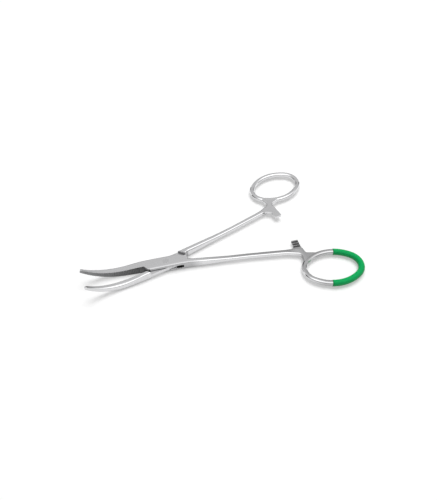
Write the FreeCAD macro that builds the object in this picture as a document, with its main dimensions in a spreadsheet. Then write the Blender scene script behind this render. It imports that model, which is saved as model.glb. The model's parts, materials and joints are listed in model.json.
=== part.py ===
import FreeCAD, Part
import math
import os

from FreeCAD import Placement, Rotation, Vector

# Curved hemostat forceps with a box lock, finger rings and a ratchet.
# Origin: on the hinge pin's axis, level with the underside of the box lock.
# +X runs to the finger rings, the jaws lie along -X, and +Z is the pin's axis.
# Each half is laid out closed, with its ring on its own side of the XZ plane
# and its jaw on the other, and is then turned about the pin by half the opening.

doc = FreeCAD.newDocument("hemostat_forceps")
sheet = doc.addObject("Spreadsheet::Sheet", "Sizes")

SIZES = [
    ("half_opening", 7.09, "angle of each half from the closed pose, degrees"),
    # box lock
    ("lock_thickness", 4.8, "height of the box lock"),
    ("lock_half_width", 3.6, "half the width of the box lock"),
    ("edge_round", 1.05, "rounding of the long edges of lock and shank"),
    ("front_shoulder", 12.2, "pin axis to the front shoulder, along the middle line"),
    ("rear_shoulder", 11.2, "pin axis to the rear shoulder, along the middle line"),
    ("shoulder_slant", 51, "angle of the shoulders to the middle line, degrees"),
    ("shoulder_gap", 0.2, "gap at the shoulders when the forceps are closed"),
    ("rear_cut_x", 4.4, "pin axis to the cut corner of the lock, on its outer edge"),
    ("rear_cut_y", 1.1, "middle line to the cut corner of the lock, on its shoulder"),
    ("slot_height", 1.9, "height of the slot between the two walls"),
    ("slot_reach", 9.4, "pin axis to the round ends of the slot"),
    ("tongue_gap", 0.05, "gap above and below the tongue"),
    ("tongue_end_gap", 0.5, "gap between the tongue's round ends and the slot's"),
    ("root_gap", 0.25, "middle line to the shanks where they leave the lock"),
    # hinge pin
    ("pin_radius", 1.25, "radius of the hinge pin"),
    ("pin_head_radius", 1.6, "radius of the riveted ends"),
    ("pin_head_depth", 0.5, "depth of the riveted ends"),
    ("pin_play", 0.04, "radial play of the pin in the tongue"),
    # jaws
    ("jaw_straight", 20, "pin axis to the start of the upward bend"),
    ("jaw_bend_radius", 35.5, "radius of the upward bend"),
    ("jaw_bend_angle", 37, "angle of the upward bend, degrees"),
    ("jaw_point", 1.2, "straight length beyond the bend"),
    ("jaw_bend_depth", 2.5, "height of a jaw in the middle of the bend"),
    ("jaw_tip_depth", 1.55, "height of a jaw at the tip"),
    ("jaw_tip_width", 1.35, "width of one jaw at the tip"),
    ("jaw_taper_start", 14.6, "pin axis to the start of the jaw's taper"),
    ("jaw_tip_round", 0.5, "rounding of the jaw's outer edges at the tip"),
    ("nose_round", 0.62, "rounding of the jaw's nose"),
    ("tip_gap", 0.05, "tip to the middle line when closed"),
    ("face_knee", 23.7, "pin axis to where the biting faces turn nearly parallel"),
    ("female_face_root", 0.8, "biting face past the middle line at the lock"),
    ("female_face_knee", 0.18, "biting face past the middle line at its knee"),
    ("male_face_root", -1.6, "biting face past the middle line at the lock"),
    ("male_face_knee", -0.57, "biting face past the middle line at its knee"),
    ("serration_pitch", 0.85, "distance from groove to groove on the biting face"),
    ("serration_depth", 0.2, "depth of the grooves on the biting face"),
    # shanks
    ("shank_start_x", 13, "pin axis to the end of the shank's root"),
    ("shank_start_y", 2.5, "middle line to the shank at the end of its root"),
    ("shank_start_width", 2.9, "width of the shank at the end of its root"),
    ("shank_waist_x", 42, "pin axis to the slimmest place of the shank"),
    ("shank_waist_y", 5.65, "middle line to the shank at its slimmest place"),
    ("shank_waist", 2.65, "width of the shank at its slimmest place"),
    ("shank_depth", 2.7, "height of the shank past its taper, and of the neck"),
    ("shank_end_x", 62, "pin axis to the shank's ring end"),
    ("shank_end_y", 8.4, "middle line to the shank's ring end"),
    ("shank_end_width", 2.8, "width of the shank at its ring end"),
    ("lock_flat", 12.2, "pin axis to the end of the lock's level faces"),
    ("taper_end", 32, "pin axis to the end of the shank's taper in height"),
    ("profile_round", 30, "rounding of the side view at the ends of the level faces"),
    ("taper_round", 90, "rounding of the side view at the end of the taper"),
    ("root_round", 4, "rounding of the shank's inner edge at its root"),
    ("shank_root_round", 60, "rounding of the shank's outer edge at its root"),
    ("shank_waist_round", 150, "rounding of the shank's edges at its slimmest place"),
    ("shank_outer_round", 20, "rounding of the shank's outer edge before the ring"),
    ("shank_inner_round", 40, "rounding of the shank's inner edge before the ratchet"),
    # finger rings
    ("ring_x", 81.6, "pin axis to the middle of a ring"),
    ("ring_y", 23.9, "middle line to the middle of a ring"),
    ("ring_long", 14.7, "half the ring's length, to the middle of its wire"),
    ("ring_short", 10.4, "half the ring's width, to the middle of its wire"),
    ("ring_tilt", 3.7, "angle of the ring's long axis, degrees"),
    ("ring_end_radius", 8, "radius of the ring's tight ends, to the middle of its wire"),
    ("ring_wire_radius", 1.47, "radius of the ring's wire, over its corners"),
    # neck between shank, ring and ratchet
    ("neck_outer_x", 68.9, "pin axis to the notch outside the neck"),
    ("neck_outer_y", 12.3, "middle line to the notch outside the neck"),
    ("neck_inner_x", 71.8, "pin axis to the notch behind the ratchet"),
    ("neck_inner_y", 11.4, "middle line to the notch behind the ratchet"),
    ("neck_notch_round", 2.0, "rounding of the notch outside the neck"),
    # ratchet
    ("ratchet_front", 67.3, "pin axis to the front of a ratchet arm"),
    ("ratchet_width", 3.8, "width of a ratchet arm"),
    ("ratchet_corner", 0.5, "rounding of the corners at an arm's free end"),
    ("ratchet_flare", 2, "rounding and reach of the flare at an arm's root"),
    ("ratchet_teeth", 3, "number of teeth on each arm"),
    ("ratchet_level_gap", 0.1, "height between the two arms"),
    ("ratchet_end", 0.95, "arm's free end to the middle line, closed"),
    ("ratchet_pitch", 1.65, "distance from tooth to tooth"),
    ("ratchet_depth", 0.5, "depth of the ratchet's teeth"),
    # colour band
    ("band_thickness", 0.2, "thickness of the coloured band"),
    ("band_inner_end", -50.58404, "place of the band's end on the inner side, degrees"),
    ("band_outer_end", 105, "place of the band's end on the outer side, degrees"),
]


class Size:
    """A length of the sheet, or one worked out from several: its formula and its number."""

    def __init__(self, formula, number):
        self.formula = formula
        self.number = number

    def __float__(self):
        return float(self.number)

    def __add__(self, other):
        return Size("(%s + %s)" % (self.formula, formula(other)), float(self) + float(other))

    def __sub__(self, other):
        return Size("(%s - %s)" % (self.formula, formula(other)), float(self) - float(other))

    def __mul__(self, other):
        return Size("(%s * %s)" % (self.formula, formula(other)), float(self) * float(other))

    def __truediv__(self, other):
        return Size("(%s / %s)" % (self.formula, formula(other)), float(self) / float(other))

    def __neg__(self):
        return self * -1


def formula(item):
    return item.formula if isinstance(item, Size) else "%.12g" % item


def fill_sheet():
    for row, (alias, number, note) in enumerate(SIZES, start=1):
        sheet.set("A%d" % row, note)
        sheet.set("B%d" % row, "%.12g" % number)
        sheet.setAlias("B%d" % row, alias)
    doc.recompute()


def size(alias):
    return Size("Sizes.%s" % alias, float(sheet.get(alias)))


def bind(item, **sizes):
    """Tie properties of an object to the sheet."""
    for name, value in sizes.items():
        item.setExpression(name, formula(value))
    return item


def sine(degrees):
    return math.sin(math.radians(float(degrees)))


def cosine(degrees):
    return math.cos(math.radians(float(degrees)))


def tangent(degrees):
    return math.tan(math.radians(float(degrees)))


def between(start, end, share):
    return float(start) + (float(end) - float(start)) * share


# Tools for outlines, blocks and booleans

def plan(x, y):
    return Vector(float(x), float(y), 0)


def upright(x, z):
    return Vector(float(x), 0, float(z))


def rounded_outline(label, corners):
    """A closed outline through the corners, each rounded by its own radius."""
    arrivals, leavings, edges = [], [], []
    for index, (corner, radius) in enumerate(corners):
        before = (corners[index - 1][0] - corner).normalize()
        after = (corners[(index + 1) % len(corners)][0] - corner).normalize()
        half_angle = before.getAngle(after) / 2
        reach = float(radius) / math.tan(half_angle)
        arrivals.append(corner + before * reach)
        leavings.append(corner + after * reach)
        if radius:
            inward = (before + after).normalize()
            middle = corner + inward * (float(radius) / math.sin(half_angle) - float(radius))
            edges.append(Part.Arc(arrivals[-1], middle, leavings[-1]).toShape())
    for index, start in enumerate(leavings):
        end = arrivals[(index + 1) % len(corners)]
        if start.distanceToPoint(end) > 1e-6:
            edges.append(Part.LineSegment(start, end).toShape())
    item = doc.addObject("Part::Feature", label)
    item.Shape = Part.Wire(Part.__sortEdges__(edges))
    return item


def extrude(label, outline, direction, start, length):
    """A solid of the outline, from a start along the direction."""
    item = doc.addObject("Part::Extrusion", label)
    item.Base = outline
    item.Dir = direction
    item.DirMode = "Custom"
    item.Solid = True
    bind(item, LengthFwd=length)
    item.Placement = Placement(direction * float(start), Rotation())
    return item


def block(label, low, high, turn=0.0, middle=Vector()):
    """A box between two corners, turned about the vertical through middle."""
    item = doc.addObject("Part::Box", label)
    bind(item, Length=high[0] - low[0], Width=high[1] - low[1], Height=high[2] - low[2])
    rotation = Rotation(UP, turn)
    corner = Vector(float(low[0]), float(low[1]), float(low[2]))
    item.Placement = Placement(middle + rotation.multVec(corner), rotation)
    return item


def disc(label, radius, height, base):
    item = doc.addObject("Part::Cylinder", label)
    bind(item, Radius=radius, Height=height)
    item.Placement = Placement(Vector(0, 0, float(base)), Rotation())
    return item


def cone(label, low_radius, high_radius, height, base):
    item = doc.addObject("Part::Cone", label)
    bind(item, Radius1=low_radius, Radius2=high_radius, Height=height)
    item.Placement = Placement(Vector(0, 0, float(base)), Rotation())
    return item


def pair(kind, label, base, tool):
    item = doc.addObject(kind, label)
    item.Base = base
    item.Tool = tool
    return item


def cut(label, base, tool):
    return pair("Part::Cut", label, base, tool)


def common(label, base, tool):
    return pair("Part::Common", label, base, tool)


def fuse(label, pieces):
    item = doc.addObject("Part::MultiFuse", label)
    item.Shapes = pieces
    item.Refine = False
    return item


fill_sheet()
UP = Vector(0, 0, 1)
ACROSS = Vector(0, 1, 0)
ALONG = Vector(1, 0, 0)
ZERO = size("half_opening") * 0
MIDDLE = size("lock_thickness") / 2
WIDE = size("ring_x") / 2
NECK_SPOTS = (197, 213, 229, 245, 260)
WIRE_SIDES = 16


# Plan and side outlines that both forgings share

def shoulder_x(reach, y):
    """Where a slanted shoulder stands, at a height y in the plan."""
    return float(reach) + float(y) / tangent(size("shoulder_slant"))


def shank_side(offset):
    """The corners of one edge of the shank in plan, offset from its middle."""
    rows = [
        (size("shank_start_x"), size("shank_start_y"), size("shank_start_width")),
        (size("shank_waist_x"), size("shank_waist_y"), size("shank_waist")),
        (size("shank_end_x"), size("shank_end_y"), size("shank_end_width")),
    ]
    return [(float(x), float(y) + offset * float(width) / 2) for x, y, width in rows]


def ring_spot(angle):
    """A point in plan on the middle line of the ring's wire."""
    x = float(size("ring_long")) * cosine(angle)
    y = float(size("ring_short")) * sine(angle)
    tilt = size("ring_tilt")
    return (float(size("ring_x")) + x * cosine(tilt) - y * sine(tilt),
            float(size("ring_y")) + x * sine(tilt) + y * cosine(tilt))


def bend_reach():
    """From the corner of the jaw's bend to where its arc begins."""
    return float(size("jaw_bend_radius")) * tangent(float(size("jaw_bend_angle")) / 2)


def radius_within(before, corner, after, reach):
    """The radius whose arc at the corner begins and ends at that reach from it."""
    return reach * math.tan((before - corner).getAngle(after - corner) / 2)


def jaw_bend():
    """The bend of the jaw's middle line: its corner, its end and the direction across it."""
    angle, reach = size("jaw_bend_angle"), bend_reach()
    corner = upright(-(float(size("jaw_straight")) + reach), size("jaw_bend_depth") / 2)
    end = corner + upright(-cosine(angle), sine(angle)) * (reach + float(size("jaw_point")))
    return corner, end, upright(sine(angle), cosine(angle))


def face_stations(name):
    """The corners of a biting face in plan, from the lock to past the tip."""
    knee = (-float(size("face_knee")), float(size("%s_face_knee" % name)))
    tip = (jaw_bend()[1].x, -float(size("tip_gap")))
    beyond_x = tip[0] - float(size("jaw_tip_depth")) * 2
    slope = (tip[1] - knee[1]) / (tip[0] - knee[0])
    root = (-float(size("front_shoulder")), float(size("%s_face_root" % name)))
    return [root, knee, (beyond_x, tip[1] + (beyond_x - tip[0]) * slope)]


def face_y(name, x):
    """Where a biting face stands in plan, at a place along the jaw."""
    root, knee, beyond = face_stations(name)
    start, end = (root, knee) if x > knee[0] else (knee, beyond)
    share = max(x - start[0], end[0] - start[0]) / (end[0] - start[0])
    return between(start[1], end[1], max(share, 0))


def lock_outline(name, side):
    """The box lock seen from above, between its slanted shoulders."""
    half_width = float(size("lock_half_width"))
    front, rear = -float(size("front_shoulder")), float(size("rear_shoulder"))
    jaw_y, shank_y = float(size("%s_face_root" % name)), float(size("root_gap"))
    # a corner that would stand in front of the other jaw is cut back
    jaw_x = shoulder_x(front, jaw_y) if jaw_y > 0 else front * 0.9
    front_x = shoulder_x(front, half_width)
    cut_x, cut_y = float(size("rear_cut_x")), -float(size("rear_cut_y"))
    corners = [
        (front_x, half_width, 0),
        (-front_x, half_width, 0),
        (shoulder_x(rear, shank_y), shank_y, 0),
        (shoulder_x(rear, cut_y), cut_y, 0),
        (cut_x, -half_width, 0),
        (front_x, -half_width, 0),
        (jaw_x, jaw_y, 0),
    ]
    return rounded_outline("%s_lock_plan" % name, mirrored(corners, side))


def jaw_outline(name, side):
    """The jaw seen from above, from inside the lock to past its tip."""
    half_width = float(size("lock_half_width"))
    tip_x = jaw_bend()[1].x
    tip_y = -(float(size("tip_gap")) + float(size("jaw_tip_width")))
    root, knee, beyond = face_stations(name)
    start_x = root[0] * 0.6
    # the outer edge is one long arc, tangent to the lock's edge
    arc_end = tip_x + float(size("nose_round"))
    corner_x = (arc_end - float(size("jaw_taper_start"))) / 2
    outer_slope = (tip_y + half_width) / (corner_x - tip_x)
    radius = (corner_x - arc_end) / math.tan(math.atan(outer_slope) / 2)
    corners = [
        beyond + (0,),
        knee + (0,),
        root + (0,),
        (start_x, root[1], 0),
        (start_x, -half_width, 0),
        (corner_x, -half_width, radius),
        (beyond[0], tip_y + (tip_x - beyond[0]) * outer_slope, 0),
    ]
    return rounded_outline("%s_jaw_plan" % name, mirrored(corners, side))


def shank_outline(name, side):
    """Shank and neck seen from above, from inside the lock to inside the ring's wire."""
    half_width = float(size("lock_half_width"))
    gap = float(size("root_gap"))
    outer, inner = shank_side(1), shank_side(-1)
    start_x = outer[0][0] * 0.3
    notch = size("neck_notch_round")
    corners = [
        (start_x, gap, 0),
        (start_x, half_width, 0),
        (outer[0][0] * 0.7, half_width, size("shank_root_round")),
        outer[1] + (size("shank_waist_round"),),
        outer[2] + (size("shank_outer_round"),),
        (size("neck_outer_x"), size("neck_outer_y"), notch),
        *[ring_spot(angle) + (0,) for angle in NECK_SPOTS],
        (size("neck_inner_x"), size("neck_inner_y"), notch * 0.6),
        (size("neck_inner_x") - notch * 0.3, inner[2][1] + float(notch) * 0.3, notch * 0.575),
        inner[2] + (size("shank_inner_round"),),
        inner[1] + (size("shank_waist_round"),),
        inner[0] + (size("root_round"),),
        (shoulder_x(size("rear_shoulder"), gap), gap, size("root_round")),
    ]
    return rounded_outline("%s_shank_plan" % name, mirrored(corners, side))


def mirrored(corners, side):
    """Corners in plan, with their radii, on the half's own side."""
    return [(plan(x, side * float(y)), radius) for x, y, radius in corners]


def side_outline(name):
    """Jaw, lock, shank and neck seen from the side."""
    corner, end, outward = jaw_bend()
    half_angle = float(size("jaw_bend_angle")) / 2
    middle = float(MIDDLE)
    bend_half = float(size("jaw_bend_depth")) / 2
    bend_shift = upright(tangent(half_angle), 1) * bend_half
    tip_shift = outward * (float(size("jaw_tip_depth")) / 2)
    nose = size("nose_round")
    lock_x = float(size("lock_flat"))
    lock_round, taper_round = size("profile_round"), size("taper_round")
    shank_half = float(size("shank_depth")) / 2
    far = float(WIDE) * 2
    lock_corner, tip_high, tip_low = upright(-lock_x, middle * 2), end + tip_shift, end - tip_shift
    bend_high, bend_low = corner + bend_shift, corner - bend_shift
    corners = [
        (lock_corner, lock_round),
        (bend_high, radius_within(lock_corner, bend_high, tip_high, bend_reach())),
        (tip_high, nose),
        (tip_low, nose),
        (bend_low, radius_within(upright(0, 0), bend_low, tip_low, bend_reach())),
        (upright(lock_x, 0), lock_round),
        (upright(size("taper_end"), middle - shank_half), taper_round),
        (upright(far, middle - shank_half), 0),
        (upright(far, middle + shank_half), 0),
        (upright(size("taper_end"), middle + shank_half), taper_round),
        (upright(lock_x, middle * 2), lock_round),
    ]
    return rounded_outline("%s_side" % name, corners)


def edge_radius(x):
    """The rounding of the long edges, at a place along the forging."""
    tip_x, start_x = jaw_bend()[1].x, -float(size("jaw_taper_start"))
    share = (start_x - min(max(x, tip_x), start_x)) / (start_x - tip_x)
    return between(size("edge_round"), size("jaw_tip_round"), share)


def rounded(name, side, outline, profile, chooser):
    """A block with this plan and this side view, its chosen edges rounded."""
    sharp = common(
        "%s_sharp" % name,
        extrude("%s_plan_block" % name, outline, UP, -WIDE, WIDE * 2),
        extrude("%s_side_block" % name, profile, ACROSS, -WIDE, WIDE * 2),
    )
    doc.recompute()
    item = doc.addObject("Part::Fillet", name)
    item.Base = sharp
    edges = []
    for number, edge in enumerate(sharp.Shape.Edges, start=1):
        halfway = (edge.FirstParameter + edge.LastParameter) / 2
        spot, direction = edge.valueAt(halfway), edge.tangentAt(halfway)
        if chooser(name, plan(spot.x, side * spot.y), direction):
            start, end = edge.firstVertex().Point.x, edge.lastVertex().Point.x
            edges.append((number, edge_radius(start), edge_radius(end)))
    item.Edges = edges
    return item


def lock_edge(name, spot, direction):
    """Whether an edge of the lock runs along it."""
    return abs(direction.x) > 0.999


def jaw_edge(name, spot, direction):
    """Whether an edge of the jaw lies on its outer wall."""
    outer = spot.y < face_y(name.split("_")[0], spot.x) - float(size("jaw_tip_width")) / 2
    upright_seam = abs(direction.z) > 0.999 and spot.x > -float(size("jaw_straight"))
    return outer and abs(direction.y) < 0.999 and not upright_seam


def shank_edge(name, spot, direction):
    """Whether an edge of shank and neck is on their free outline."""
    seam = abs(direction.y) > 0.999 and abs(direction.z) < 0.01 and spot.x < float(size("shank_end_x"))
    return abs(direction.z) < 0.9 and not seam and not within_ring(spot)


def within_ring(spot):
    """Whether a spot in plan lies on or inside the middle line of the ring's wire."""
    tilt = -float(size("ring_tilt"))
    x, y = spot.x - float(size("ring_x")), spot.y - float(size("ring_y"))
    along = x * cosine(tilt) - y * sine(tilt)
    beside = x * sine(tilt) + y * cosine(tilt)
    reach = math.hypot(along / float(size("ring_long")), beside / float(size("ring_short")))
    return reach < 1.02


# Ring, ratchet and the cuts

def ring_arcs():
    """The ring's four arcs, in turn: centre along and across, radius, start and sweep."""
    long, short = float(size("ring_long")), float(size("ring_short"))
    small = float(size("ring_end_radius"))
    large = (long ** 2 + short ** 2 - 2 * long * small) / (2 * (short - small))
    half_end = math.degrees(math.atan2(large - short, long - small))
    half_side = 90 - half_end
    return [
        (0, large - short, large, half_end - 180, 2 * half_side),
        (long - small, 0, small, -half_end, 2 * half_end),
        (0, short - large, large, half_end, 2 * half_side),
        (small - long, 0, small, 180 - half_end, 2 * half_end),
    ]


def ring(name, side, swell, start, end):
    """The oval finger ring, or a stretch of it between two angles, swollen all round."""
    tilt = Placement(Vector(), Rotation(UP, side * float(size("ring_tilt"))))
    centre = Vector(float(size("ring_x")), side * float(size("ring_y")), float(MIDDLE))
    pieces = []
    for number, (x, y, radius, first, sweep) in enumerate(ring_arcs()):
        low, high = max(first, start), min(first + sweep, end)
        if high - low < 0.01:
            continue
        section = doc.addObject("Part::RegularPolygon", "%s_wire_%d" % (name, number))
        section.Polygon = WIRE_SIDES
        bind(section, Circumradius=size("ring_wire_radius") + swell)
        section.Placement = Placement(Vector(radius, 0, 0), Rotation(ALONG, 90))
        item = doc.addObject("Part::Revolution", "%s_arc_%d" % (name, number))
        item.Source = section
        item.Axis = UP
        item.Angle = high - low
        item.Solid = True
        turn = low if side > 0 else -high
        place = Placement(Vector(x, side * y, 0), Rotation(UP, turn))
        item.Placement = Placement(centre, Rotation()) * tilt * place
        pieces.append(item)
    return fuse(name, pieces)


def ratchet_arm(name, side, base, height):
    """The flat arm that carries the teeth, with a flared root."""
    front = size("ratchet_front")
    rear = front + size("ratchet_width")
    end_y = float(size("ratchet_end"))
    root_y = shank_side(-1)[2][1]
    corner, flare = float(size("ratchet_corner")), float(size("ratchet_flare"))
    corners = [
        (front, end_y, corner),
        (rear, end_y, corner),
        (rear, root_y + flare * 1.3, 0),
        (float(front) - flare * 2.5, root_y + flare * 0.45, 0),
        (float(front) - flare, root_y - flare * 0.05, 0),
        (front, root_y - flare * 0.8, flare),
    ]
    outline = rounded_outline("%s_arm_plan" % name, mirrored(corners, side))
    return extrude("%s_arm" % name, outline, UP, base, height)


def ratchet_teeth(name, side, level, facing):
    """Saw-shaped grooves across the ratchet arm, cut into the face at this level."""
    pitch, depth = float(size("ratchet_pitch")), float(size("ratchet_depth"))
    start_x = float(size("neck_outer_x")) - float(size("ratchet_width"))
    tools = []
    for number in range(int(float(size("ratchet_teeth")))):
        low_y = float(size("ratchet_end")) + pitch * (number + 0.35)
        high_y = low_y + pitch * 0.92
        far = level + facing * pitch
        profile = [
            (low_y, level),
            (low_y + pitch * 0.18, level - facing * depth),
            (high_y, level),
            (high_y, far),
            (low_y, far),
        ]
        points = [Vector(start_x, side * y, z) for y, z in profile]
        tools.append(groove("%s_tooth_%d" % (name, number), points, ALONG, size("ratchet_width") * 2))
    return tools


def groove(label, points, direction, length):
    """A straight prism over a closed row of points."""
    outline = doc.addObject("Part::Feature", "%s_outline" % label)
    outline.Shape = Part.makePolygon(points + points[:1])
    item = doc.addObject("Part::Extrusion", label)
    item.Base = outline
    item.Dir = direction
    item.DirMode = "Custom"
    item.Solid = True
    return bind(item, LengthFwd=length)


def serrations(name, side):
    """Grooves across the biting face, square to the curved jaw."""
    straight, radius = float(size("jaw_straight")), float(size("jaw_bend_radius"))
    pitch, depth = float(size("serration_pitch")), float(size("serration_depth"))
    start = float(size("front_shoulder")) + pitch * 2
    stop = straight + radius * math.radians(float(size("jaw_bend_angle")))
    height = size("lock_thickness") * 1.5
    across = [(-depth, 0), (0, -depth), (depth, 0), (depth, depth * 2), (-depth, depth * 2)]
    points = [Vector(x, side * y, -float(height) / 2) for x, y in across]
    tools = []
    for number in range(int((stop - start) / pitch)):
        distance = start + number * pitch
        turn = max(distance - straight, 0) / radius
        x = -min(distance, straight) - radius * math.sin(turn)
        z = float(size("jaw_bend_depth")) / 2 + radius * (1 - math.cos(turn))
        tool = groove("%s_groove_%d" % (name, number), points, UP, height)
        spot = Vector(x, side * face_y(name, x), z)
        tool.Placement = Placement(spot, Rotation(ACROSS, math.degrees(turn)))
        tools.append(tool)
    return tools


def between_shoulders(label, side, gap, low, high):
    """A slanted block that ends at the two shoulders."""
    slant = float(size("shoulder_slant"))
    across = size("front_shoulder") * 2
    front = size("front_shoulder") * sine(slant) + gap
    rear = size("rear_shoulder") * sine(slant) + gap
    return block(label, (-front, -across, low), (rear, across, high), turn=side * (90 - slant))


def forging(name, side, arm_base, arm_height):
    """One half before its lock is cut."""
    bodies = []
    for part, outline, chooser in (
        ("lock", lock_outline, lock_edge),
        ("jaw", jaw_outline, jaw_edge),
        ("shank", shank_outline, shank_edge),
    ):
        title = "%s_%s" % (name, part)
        bodies.append(rounded(title, side, outline(name, side), side_outline(title), chooser))
    return fuse("%s_blank" % name, bodies + [
        ring("%s_ring" % name, side, 0, -180, 360),
        ratchet_arm(name, side, arm_base, arm_height),
    ])


def turned(item, node, side):
    """Name a finished piece, and turn it about the pin into the open pose."""
    item.Label = node
    item.Placement = Placement(Vector(), Rotation(UP, side * float(size("half_opening"))))
    return item


def pin(name):
    """The hinge pin, riveted flush at both ends."""
    top = size("lock_thickness")
    shaft, head, depth = size("pin_radius"), size("pin_head_radius"), size("pin_head_depth")
    return fuse(name, [
        disc("%s_shaft" % name, shaft, top, 0),
        cone("%s_low_head" % name, head, shaft, depth, 0),
        cone("%s_high_head" % name, shaft, head, depth, top - depth),
    ])


SLOT_LOW = MIDDLE - size("slot_height") / 2
SLOT_HIGH = MIDDLE + size("slot_height") / 2
ARM_HEIGHT = (size("shank_depth") - size("ratchet_level_gap")) / 2


def female_half():
    """The half with two walls and the slot between them."""
    side = -1
    arm_base = MIDDLE - size("shank_depth") / 2
    blank = forging("female", side, arm_base, ARM_HEIGHT)
    across = size("front_shoulder")
    length = across * 1.3
    face = size("female_face_root")
    tools = fuse("female_tools", [
        disc("female_slot_round", size("slot_reach"), size("slot_height"), SLOT_LOW),
        block("female_slot_front", (-length, -across, SLOT_LOW), (ZERO, -face, SLOT_HIGH)),
        block("female_slot_rear", (ZERO, -size("root_gap"), SLOT_LOW), (length, across, SLOT_HIGH)),
        pin("female_pin_hole"),
    ] + ratchet_teeth("female", side, float(arm_base + ARM_HEIGHT), 1) + serrations("female", side))
    return turned(cut("female_forging", blank, tools), "female_half", side)


def male_half():
    """The half with the tongue that passes through the slot."""
    side = 1
    arm_base = MIDDLE + size("ratchet_level_gap") / 2
    blank = forging("male", side, arm_base, ARM_HEIGHT)
    low, high = SLOT_LOW + size("tongue_gap"), SLOT_HIGH - size("tongue_gap")
    across = size("front_shoulder")
    length = across * 1.3
    gap = size("shoulder_gap")
    top = MIDDLE * 4
    round_end = disc("male_tongue_round", size("slot_reach") - size("tongue_end_gap"), top * 2, -top)
    corners = fuse("male_corner_blocks", [
        block("male_corner_front", (-across, size("male_face_root"), -MIDDLE), (ZERO, across, top)),
        block("male_corner_rear", (ZERO, -across, -MIDDLE), (length, size("root_gap"), top)),
    ])
    tools = fuse("male_tools", [
        cut("male_corners", corners, round_end),
        between_shoulders("male_recess_below", side, gap, -MIDDLE, low),
        between_shoulders("male_recess_above", side, gap, high, top),
        disc("male_pin_hole", size("pin_radius") + size("pin_play"), top, -MIDDLE),
    ] + ratchet_teeth("male", side, float(arm_base), -1) + serrations("male", side))
    return turned(cut("male_forging", blank, tools), "male_half", side)


def hinge_pin():
    item = pin("hinge_pin_turned")
    item.Label = "hinge_pin"
    return item


def colour_band():
    """A thin coloured sleeve round the outer end of the female half's ring."""
    side = -1
    start, end = float(size("band_inner_end")), float(size("band_outer_end"))
    sleeve = cut(
        "band_sleeve",
        ring("band_outer", side, size("band_thickness"), start, end),
        ring("band_inner", side, 0, start - 1, end + 1),
    )
    return turned(sleeve, "colour_band", side)


def write_parts(nodes):
    doc.recompute()
    for item in doc.Objects:
        if {"Invalid", "Error"} & set(item.State):
            raise RuntimeError("%s failed: %s" % (item.Name, item.State))
    os.makedirs("parts", exist_ok=True)
    for node in nodes:
        shape = node.Shape
        if shape.isNull() or not shape.isValid() or len(shape.Solids) != 1:
            raise RuntimeError("%s has no single valid solid: %d" % (node.Label, len(shape.Solids)))
        shape.exportStep("parts/%s.step" % node.Label)


write_parts([female_half(), male_half(), hinge_pin(), colour_band()])
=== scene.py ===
"""Curved hemostat forceps lying half open, with a green band on one finger ring."""

import json
import math

import bmesh
import bpy
from mathutils import Matrix, Vector

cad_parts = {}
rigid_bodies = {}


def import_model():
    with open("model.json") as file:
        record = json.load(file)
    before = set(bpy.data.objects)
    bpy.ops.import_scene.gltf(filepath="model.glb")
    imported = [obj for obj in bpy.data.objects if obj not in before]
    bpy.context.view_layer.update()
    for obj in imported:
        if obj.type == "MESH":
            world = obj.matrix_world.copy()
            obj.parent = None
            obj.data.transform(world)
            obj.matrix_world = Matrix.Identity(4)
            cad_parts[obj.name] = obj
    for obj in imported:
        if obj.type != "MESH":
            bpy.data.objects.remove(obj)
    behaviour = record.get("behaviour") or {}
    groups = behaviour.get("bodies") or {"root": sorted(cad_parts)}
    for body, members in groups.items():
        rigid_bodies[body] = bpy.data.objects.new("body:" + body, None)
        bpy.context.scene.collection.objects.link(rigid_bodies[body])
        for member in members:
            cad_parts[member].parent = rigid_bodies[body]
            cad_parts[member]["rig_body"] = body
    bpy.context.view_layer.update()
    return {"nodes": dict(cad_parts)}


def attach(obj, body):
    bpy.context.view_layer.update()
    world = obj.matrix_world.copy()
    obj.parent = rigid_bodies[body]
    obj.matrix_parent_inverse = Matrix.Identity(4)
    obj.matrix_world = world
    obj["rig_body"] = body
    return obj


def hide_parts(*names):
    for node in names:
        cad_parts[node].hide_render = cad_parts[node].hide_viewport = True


MM = 0.001

# The camera, from the photograph: angles in degrees, lengths in millimetres.
CAMERA_ELEVATION = 46.86
CAMERA_AZIMUTH = -21.08
CAMERA_ROLL = -0.74
CAMERA_DISTANCE = 273.5
CAMERA_TARGET = (29.25, 1.02, 0.15)
CAMERA_LENS = 37.10
SENSOR_WIDTH = 36
CLIP_START = 0.01
CLIP_END = 20

# The lamp and the floor, in metres, at levels at which a colour renders about as it is written.
KEY_POWER = 56
KEY_SIZE = 1.8
KEY_PLACE = (0.45, 0.62, 2.4)
FLOOR_COLOUR = 0.62
FLOOR_GLOW = 0.38
FLOOR_SIZE = 6
FLOOR_FADE = (0.25, 0.5)

# The studio: its levels on the far and the near side, from the horizon at 0 to overhead at 1,
# where near goes over into far, the share that lights matt surfaces, and the height at which
# the white backdrop ends in reflections.
FAR_SKY = ((0.0, 0.05), (0.18, 0.06), (0.37, 0.5), (0.73, 0.62), (0.85, 0.65), (1.0, 0.85))
NEAR_SKY = ((0.0, 0.4), (0.5, 0.7), (0.8, 1.7), (0.95, 1.7), (1.0, 0.85))
NEAR_TO_FAR = (-0.2, 0.2)
SKY_LEVEL = 0.32
BACKDROP_TOP = (0.1, 0.14)

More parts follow.
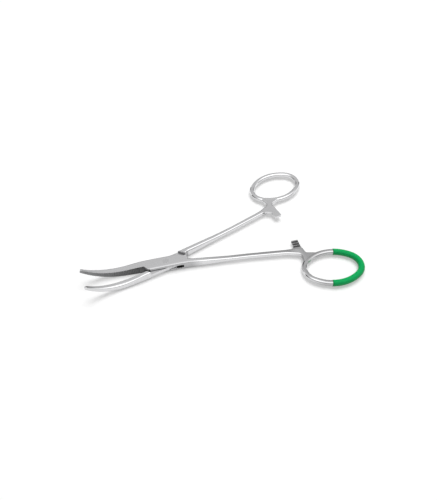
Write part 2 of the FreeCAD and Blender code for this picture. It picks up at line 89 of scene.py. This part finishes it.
# The steel. Here and below, tones, painted shades, spreads and roughnesses are values, and a
# tone, painted shade or spread is a factor on the colour. Every other pair is the stretch over
# which a
# change goes from none to all: of noise, of openness, of the direction that a face looks in, or
# of the part in metres.
STEEL_COLOUR = (0.85, 0.85, 0.862)
STEEL_SPREAD = (0.9, 1.1)
CLOUD_SIZE = 14 * MM
CLOUD_ROUGHNESS = (0.07, 0.12)
NOISE_MIDDLE = (0.3, 0.7)
GRAIN_SIZE = 0.16 * MM
GRAIN_DEPTH = 0.01 * MM
GRAIN_STRENGTH = 0.12
HALF_GRAIN = (9, 1, 1)
PIN_GRAIN = (1, 1, 1)
WEAR_SIZE = 2.5 * MM
WEAR_STRETCH = (2, 1, 1)
WEAR_ROUGHNESS = 0.05
WORN = (0.5, 0.8)
SATIN_ROUGHNESS = 0.12
SATIN_TOP = (0.9, 0.99)
EDGE_ROUNDING = 0.12 * MM

# Painted shade on the steel by depth and direction: in crevices, and on sides by how far they
# face up.
CREVICE_SIZE = 1.2 * MM
CREVICE_PAINTED_SHADE = 0.06
CREVICE = (0.3, 0.9)
SIDE_PAINTED_SHADE = 0.82
SIDE = (0.2, 0.45)

# Painted shade by place and direction, with x along the forceps from the pin, in the part's own
# frame: darker shank tops, far edges, lock edges, shoulders and ring.
SHANK_START = (14 * MM, 40 * MM)
SHANK_END = (62 * MM, 66 * MM)
SHANK_TOP = (0.85, 0.95)
FAR_START = (10 * MM, 25 * MM)
FAR_EDGE = (0.12, 0.5)
LOCK_END = (12 * MM, 18 * MM)
LOCK_TOP = (0.9, 0.97)
SHOULDER_PAINTED_SHADE = 0.35
SHOULDER_END = (13.5 * MM, 15 * MM)
SHOULDER_SLANT = (0.3, 0.55)
RING_START = (63 * MM, 69 * MM)
FEMALE_PAINTED_SHADES = {"shank_painted_shade": 0.6, "far_painted_shade": 0.45, "ring_painted_shade": 0.7, "lock_painted_shade": 0.65}
MALE_PAINTED_SHADES = {"far_painted_shade": 0.8}
# The pin's own tone, a factor on its steel colour.
PIN_TONE = 0.93

# The biting faces: painted shade that stands for the shade in their serrations, lighter at the
# tip and darker at their end at the lock.
FACE_LENGTH = (-40 * MM, -9 * MM)
FACE_END = (-9.3 * MM, -9 * MM)
FACE_PAINTED_SHADES = (0.33, 0.15)
FACE_SLANT = (0.45, 0.6)
FACE_ROUGHNESS = 0.4

# The ratchet teeth: where their arms lie, and the slant of their flanks and the painted shade on
# them.
TEETH_START = (61 * MM, 61.5 * MM)
TEETH_ROOT = (15.5 * MM, 16 * MM)
TEETH_STEEP = (0.1, 0.2)
TEETH_FLAT = (0.65, 0.8)
TEETH_PAINTED_SHADE = 0.35

# The green coat.
GREEN_COLOUR = (0.0, 0.37, 0.095)
GREEN_SPREAD = (0.9, 1.08)
GREEN_ROUGHNESS = (0.3, 0.42)
GREEN_SPECULAR = 0.2
PATCH_SIZE = 5 * MM
PEEL_SIZE = 0.5 * MM
PEEL_DEPTH = 0.02 * MM
PEEL_STRENGTH = 0.15

# The green band, in millimetres and degrees: the ring's oval on the female half, whose ends
# are arcs of the small radius, and the tube of the band round it.
RING_MIDDLE = (81.6, 23.9, 2.4)
RING_LONG = 14.7
RING_SHORT = 10.4
RING_END_RADIUS = 8
RING_TILT = 3.7
HALF_OPENING = 7.09
BAND_START = -79.5
BAND_END = 101.5
BAND_STEP = 3
BAND_INSIDE = 1.475
BAND_OUTSIDE = 1.67
BAND_SIDES = 32


class Nodes:
    """A material's or world's node tree, with short calls to add and join its nodes."""

    # The mix node's own sockets and output for each kind of data, by number.
    MIX_SOCKETS = {"FLOAT": ("2", "3", 0), "RGBA": ("6", "7", 2)}

    def __init__(self, owner):
        owner.use_nodes = True
        self.tree = owner.node_tree
        self.tree.nodes.clear()

    def add(self, kind, settings=(), **sockets):
        """A new node: settings are its own properties, sockets its inputs by name."""
        node = self.tree.nodes.new("ShaderNode" + kind)
        for name, value in dict(settings).items():
            setattr(node, name, value)
        for name, value in sockets.items():
            self.put(node, name.replace("_", " "), value)
        return node

    def put(self, node, name, value):
        """Sets a node's input to a value, or joins another node's output to it."""
        socket = node.inputs[int(name)] if name.isdigit() else node.inputs[name]
        if isinstance(value, bpy.types.NodeSocket):
            self.tree.links.new(value, socket)
        else:
            socket.default_value = value

    def pair(self, kind, first, second, **sockets):
        """A new node that joins two shaders by its sockets 0 and 1, or 1 and 2 after a share."""
        node = self.add(kind, **sockets)
        start = len(node.inputs) - 2
        self.put(node, str(start), first.outputs[0])
        self.put(node, str(start + 1), second.outputs[0])
        return node

    def end(self, kind, shader):
        """The tree's output."""
        self.put(self.add(kind), "Surface", shader.outputs[0])

    def math(self, operation, first, second=0.0):
        """The result of a sum or another operation on two values."""
        node = self.add("Math", {"operation": operation})
        self.put(node, "0", first)
        self.put(node, "1", second)
        return node.outputs[0]

    def product(self, first, *others):
        """Several values multiplied."""
        for other in others:
            first = self.math("MULTIPLY", first, other)
        return first

    def sum(self, first, *others):
        """Several values added."""
        for other in others:
            first = self.math("ADD", first, other)
        return first

    def span(self, value, low, high, start=0.0, end=1.0):
        """A value between start and end, spread to between low and high."""
        node = self.add(
            "MapRange", Value=value, From_Min=start, From_Max=end, To_Min=low, To_Max=high
        )
        return node.outputs["Result"]

    def rise(self, value, reach):
        """0 up to the reach's start and 1 from its end."""
        return self.span(value, 0.0, 1.0, *reach)

    def fall(self, value, reach):
        """1 up to the reach's start and 0 from its end."""
        return self.span(value, 1.0, 0.0, *reach)

    def mixed(self, share, first, second, kind="FLOAT"):
        """A value or colour between two others."""
        one, other, result = self.MIX_SOCKETS[kind]
        node = self.add("Mix", {"data_type": kind}, Factor=share)
        self.put(node, one, first)
        self.put(node, other, second)
        return node.outputs[result]

    def toned(self, level, where, tone):
        """A level that is multiplied by the tone where the other value is 1."""
        return self.product(level, self.mixed(where, 1.0, tone))

    def scaled(self, colour, level):
        """A colour times a value."""
        node = self.add("VectorMath", {"operation": "SCALE"}, Scale=level)
        self.put(node, "0", colour)
        return node.outputs[0]

    def spread(self, value, colour, factors):
        """A colour that goes from its darker to its lighter factor, by a value from 0 to 1."""
        dark, light = (tuple(each * factor for each in colour) for factor in factors)
        return self.mixed(value, (*dark, 1), (*light, 1), "RGBA")

    def noise(self, size, stretch=(1, 1, 1), detail=4.0):
        """Noise with spots of that size in metres, drawn out by stretch along each axis."""
        place = self.add("TexCoord").outputs["Object"]
        scale = tuple(1 / (size * each) for each in stretch)
        scaled = self.add("Mapping", Vector=place, Scale=scale).outputs["Vector"]
        return self.add("TexNoise", Vector=scaled, Scale=1.0, Detail=detail).outputs["Fac"]

    def axes(self, source):
        """The x, y and z of a texture coordinate: the part's own place or its normal."""
        split = self.add("SeparateXYZ", Vector=self.add("TexCoord").outputs[source])
        return split.outputs["X"], split.outputs["Y"], split.outputs["Z"]


def steel_tone(nodes, shank_painted_shade=1.0, far_painted_shade=1.0, ring_painted_shade=1.0, lock_painted_shade=1.0):
    """Painted shade on the steel, as a level by depth, direction and place: painted shade in
    crevices and on sides, and the given painted shades on the shank's top, at far edges, on the
    ring, at the lock's edges and on the lock's shoulders."""
    along = nodes.axes("Object")[0]
    from_pin = nodes.math("ABSOLUTE", along)
    ahead, across, up = nodes.axes("Normal")
    # Painted shade in crevices, where ambient occlusion finds nearby surfaces, and on sides by
    # how far they face up.
    depth = nodes.add("AmbientOcclusion", {"samples": 8}, Distance=CREVICE_SIZE).outputs["AO"]
    level = nodes.product(
        nodes.span(up, SIDE_PAINTED_SHADE, 1.0, *SIDE), nodes.span(depth, CREVICE_PAINTED_SHADE, 1.0, *CREVICE)
    )
    # Painted shade by place: on the shank's top, at far edges, at the lock's tilted edges, on the
    # shoulders and over the ring.
    shank = nodes.product(
        nodes.rise(along, SHANK_START), nodes.fall(along, SHANK_END), nodes.rise(up, SHANK_TOP)
    )
    level = nodes.toned(level, shank, shank_painted_shade)
    far = nodes.product(nodes.rise(across, FAR_EDGE), nodes.rise(along, FAR_START))
    level = nodes.toned(level, far, far_painted_shade)
    lock = nodes.product(nodes.fall(from_pin, LOCK_END), nodes.fall(up, LOCK_TOP))
    level = nodes.toned(level, lock, lock_painted_shade)
    shoulder = nodes.product(
        nodes.rise(nodes.math("ABSOLUTE", ahead), SHOULDER_SLANT),
        nodes.fall(from_pin, SHOULDER_END),
    )
    level = nodes.toned(level, shoulder, SHOULDER_PAINTED_SHADE)
    return nodes.toned(level, nodes.rise(along, RING_START), ring_painted_shade)


def teeth_flanks(nodes):
    """1 on the slanting flanks of the ratchet's teeth, otherwise 0."""
    along, across, _ = nodes.axes("Object")
    slant = nodes.math("ABSOLUTE", nodes.axes("Normal")[2])
    return nodes.product(
        nodes.rise(slant, TEETH_STEEP),
        nodes.fall(slant, TEETH_FLAT),
        nodes.fall(nodes.math("ABSOLUTE", across), TEETH_ROOT),
        nodes.rise(along, TEETH_START),
    )


def biting_face(nodes, facing):
    """1 on the cut face of the jaw that looks along facing times y, otherwise 0; and the painted
    shade on it, which stands for the shade in its serrations and darkens towards the lock.
    """
    along = nodes.axes("Object")[0]
    inward = nodes.product(nodes.axes("Normal")[1], float(facing))
    where = nodes.product(nodes.rise(inward, FACE_SLANT), nodes.fall(along, FACE_END))
    return where, nodes.span(along, *FACE_PAINTED_SHADES, *FACE_LENGTH)


def steel(name, grain, tone=1.0, facing=0, **painted_shades):
    """Stainless steel: satin on top, polished at the sides, with a fine grain, faint clouds and
    worn spots, and painted shade in crevices, on sides and at places on each half. On a half,
    facing is the side that its biting face, darkened with painted shade, looks to."""
    material = bpy.data.materials.new(name)
    nodes = Nodes(material)
    clouds = nodes.noise(CLOUD_SIZE, detail=3.0)
    fine = nodes.noise(GRAIN_SIZE, grain, detail=5.0)
    wear = nodes.noise(WEAR_SIZE, WEAR_STRETCH, detail=6.0)
    # Painted shade on the steel, as a factor on its colour.
    level = steel_tone(nodes, **painted_shades)
    rough = nodes.sum(
        nodes.span(clouds, *CLOUD_ROUGHNESS, *NOISE_MIDDLE),
        nodes.span(wear, 0.0, WEAR_ROUGHNESS, *WORN),
        nodes.span(nodes.axes("Normal")[2], 0.0, SATIN_ROUGHNESS, *SATIN_TOP),
    )
    if facing:
        # Painted shade on the slanting flanks of the ratchet's teeth.
        level = nodes.toned(level, teeth_flanks(nodes), TEETH_PAINTED_SHADE)
        # Painted shade on the biting face, standing for the shade in its serrations, with its own
        # rougher finish.
        face, face_painted_shade = biting_face(nodes, facing)
        level = nodes.mixed(face, level, face_painted_shade)
        rough = nodes.mixed(face, rough, FACE_ROUGHNESS)
    factors = [tone * factor for factor in STEEL_SPREAD]
    colour = nodes.spread(nodes.product(clouds, fine), STEEL_COLOUR, factors)
    soft = nodes.add("Bevel", {"samples": 6}, Radius=EDGE_ROUNDING)
    bump = nodes.add("Bump", Strength=GRAIN_STRENGTH, Distance=GRAIN_DEPTH, Height=fine)
    nodes.put(bump, "Normal", soft.outputs["Normal"])
    surface = nodes.add(
        "BsdfPrincipled",
        Metallic=1.0,
        Base_Color=nodes.scaled(colour, level),
        Roughness=rough,
        Normal=bump.outputs["Normal"],
    )
    nodes.end("OutputMaterial", surface)
    return material


def green_coat():
    """The baked green coat: even colour, a soft gloss and a faint orange peel."""
    material = bpy.data.materials.new("green_coat")
    nodes = Nodes(material)
    patches = nodes.noise(PATCH_SIZE)
    peel = nodes.noise(PEEL_SIZE, detail=3.0)
    bump = nodes.add("Bump", Strength=PEEL_STRENGTH, Distance=PEEL_DEPTH, Height=peel)
    surface = nodes.add(
        "BsdfPrincipled",
        Base_Color=nodes.spread(patches, GREEN_COLOUR, GREEN_SPREAD),
        Roughness=nodes.span(patches, *GREEN_ROUGHNESS, *NOISE_MIDDLE),
        Specular_IOR_Level=GREEN_SPECULAR,
        Normal=bump.outputs["Normal"],
    )
    nodes.end("OutputMaterial", surface)
    return material


def ring_arc(angle):
    """The centre and radius of the ring's arc at that angle, in its own oval."""
    long, short, small = RING_LONG, RING_SHORT, RING_END_RADIUS
    large = (long ** 2 + short ** 2 - 2 * long * small) / (2 * (short - small))
    if abs(angle) <= math.degrees(math.atan2(large - short, long - small)):
        return Vector((long - small, 0, 0)), small
    return Vector((0, math.copysign(large - short, -angle), 0)), large


def band_section(mesh, place, angle):
    """The outer and the inner loop of vertices round the ring's wire at that angle."""
    middle, reach = ring_arc(angle)
    outward = Vector((math.cos(math.radians(angle)), -math.sin(math.radians(angle)), 0))
    spot = Vector((middle.x, -middle.y, 0)) + reach * outward
    loops = []
    for radius in (BAND_OUTSIDE, BAND_INSIDE):
        loop = []
        for step in range(BAND_SIDES):
            turned = 2 * math.pi * step / BAND_SIDES
            offset = radius * (math.cos(turned) * outward + math.sin(turned) * Vector((0, 0, 1)))
            loop.append(mesh.verts.new((place @ (spot + offset)) * MM))
        loops.append(loop)
    return loops


def join(mesh, first, second):
    """Faces between two loops of as many vertices."""
    for step in range(len(first)):
        after = (step + 1) % len(first)
        mesh.faces.new((first[step], first[after], second[after], second[step]))


def green_band():
    """The coloured sleeve round the outer end of the female half's ring."""
    turn = Matrix.Rotation(math.radians(-HALF_OPENING), 4, "Z")
    x, y, z = RING_MIDDLE
    tilt = Matrix.Rotation(math.radians(-RING_TILT), 4, "Z")
    place = turn @ Matrix.Translation((x, -y, z)) @ tilt
    mesh = bmesh.new()
    steps = round((BAND_END - BAND_START) / BAND_STEP)
    sections = [
        band_section(mesh, place, BAND_START + (BAND_END - BAND_START) * (number / steps))
        for number in range(steps + 1)
    ]
    for first, second in zip(sections, sections[1:]):
        for loop, next_loop in zip(first, second):
            join(mesh, loop, next_loop)
    for outer, inner in (sections[0], sections[-1]):
        join(mesh, outer, inner)
    bmesh.ops.recalc_face_normals(mesh, faces=mesh.faces)
    data = bpy.data.meshes.new("green_band")
    mesh.to_mesh(data)
    mesh.free()
    data.shade_smooth()
    item = bpy.data.objects.new("green_band", data)
    bpy.context.scene.collection.objects.link(item)
    return item


def seen_directly(nodes):
    """1 for what the camera sees, also by reflection or through glass, otherwise 0."""
    path = nodes.add("LightPath").outputs
    seen = nodes.math("MAXIMUM", path["Is Camera Ray"], path["Is Glossy Ray"])
    return nodes.math("MAXIMUM", seen, path["Is Transmission Ray"])


def floor():
    """A plain white table that keeps the object's shadow and is lost in white far away."""
    material = bpy.data.materials.new("floor")
    nodes = Nodes(material)
    seen = seen_directly(nodes)
    paper = nodes.add("BsdfDiffuse", Color=(FLOOR_COLOUR, FLOOR_COLOUR, FLOOR_COLOUR, 1))
    glow = nodes.add("Emission", Strength=nodes.product(seen, FLOOR_GLOW))
    near = nodes.pair("AddShader", paper, glow)
    white = nodes.add("Emission", Strength=1.0)
    distance = nodes.add("VectorMath", {"operation": "LENGTH"})
    nodes.put(distance, "0", nodes.add("TexCoord").outputs["Object"])
    fade = nodes.product(nodes.rise(distance.outputs["Value"], FLOOR_FADE), seen)
    nodes.end("OutputMaterial", nodes.pair("MixShader", near, white, Fac=fade))
    bpy.ops.mesh.primitive_plane_add(size=FLOOR_SIZE)
    plane = bpy.context.object
    plane.name = "floor"
    plane.data.materials.append(material)


def ramp(nodes, value, levels):
    """A level that follows a value through the given stops, which go from 0 to 1."""
    node = nodes.add("ValToRGB", Fac=value)
    stops = node.color_ramp.elements
    for position, _ in levels[1:-1]:
        stops.new(position)
    for stop, (_, level) in zip(stops, levels):
        stop.color = (level, level, level, 1)
    return node.outputs["Color"]


def sky():
    """A studio with a dark far horizon and its brightest light high on the near side. It is
    plain white to the camera, and near the horizon also in reflections."""
    world = bpy.data.worlds.new("studio")
    bpy.context.scene.world = world
    nodes = Nodes(world)
    _, away, height = nodes.axes("Generated")
    near, far = ramp(nodes, height, NEAR_SKY), ramp(nodes, height, FAR_SKY)
    path = nodes.add("LightPath").outputs
    level = nodes.product(
        nodes.span(path["Is Diffuse Ray"], 1.0, SKY_LEVEL),
        nodes.mixed(nodes.rise(away, NEAR_TO_FAR), near, far),
    )
    around = nodes.add("Background", Color=(1, 1, 1, 1), Strength=level)
    white = nodes.add("Background", Color=(1, 1, 1, 1), Strength=1.0)
    low = nodes.product(seen_directly(nodes), nodes.fall(height, BACKDROP_TOP))
    shown = nodes.math("MAXIMUM", low, path["Is Camera Ray"])
    nodes.end("OutputWorld", nodes.pair("MixShader", around, white, Fac=shown))


def lamp():
    """The key light: a square soft lamp, turned to the object."""
    data = bpy.data.lights.new("key", "AREA")
    data.energy, data.size = KEY_POWER, KEY_SIZE
    item = bpy.data.objects.new("key", data)
    item.location = KEY_PLACE
    item.visible_glossy = False
    item.rotation_euler = (-Vector(KEY_PLACE)).to_track_quat("-Z", "Y").to_euler()
    bpy.context.scene.collection.objects.link(item)


def camera():
    """The photograph's view."""
    azimuth, elevation, roll = (
        math.radians(angle) for angle in (CAMERA_AZIMUTH, CAMERA_ELEVATION, CAMERA_ROLL)
    )
    back = Vector((
        math.sin(azimuth) * math.cos(elevation),
        -math.cos(azimuth) * math.cos(elevation),
        math.sin(elevation),
    ))
    right = Vector((math.cos(azimuth), math.sin(azimuth), 0))
    up = back.cross(right)
    across = math.cos(roll) * right + math.sin(roll) * up
    above = math.cos(roll) * up - math.sin(roll) * right
    data = bpy.data.cameras.new("camera")
    data.lens, data.sensor_width = CAMERA_LENS, SENSOR_WIDTH
    data.clip_start, data.clip_end = CLIP_START, CLIP_END
    item = bpy.data.objects.new("camera", data)
    turn = Matrix((across, above, back)).transposed().to_4x4()
    place = (Vector(CAMERA_TARGET) + CAMERA_DISTANCE * back) * MM
    item.matrix_world = Matrix.Translation(place) @ turn
    bpy.context.scene.collection.objects.link(item)
    bpy.context.scene.camera = item


def dress(node, material):
    """Gives a CAD node, or the piece that replaces it, its finish."""
    node.data.materials.clear()
    node.data.materials.append(material)


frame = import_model()
parts = frame["nodes"]
female = steel("female_steel", HALF_GRAIN, facing=-1, **FEMALE_PAINTED_SHADES)
male = steel("male_steel", HALF_GRAIN, facing=1, **MALE_PAINTED_SHADES)
dress(parts["female_half"], female)
dress(parts["male_half"], male)
dress(parts["hinge_pin"], steel("pin_steel", PIN_GRAIN, tone=PIN_TONE))
band = green_band()
dress(band, green_coat())
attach(band, parts["colour_band"]["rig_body"])
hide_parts("colour_band")

floor()
sky()
lamp()
camera()
bpy.context.scene.view_settings.view_transform = "Standard"
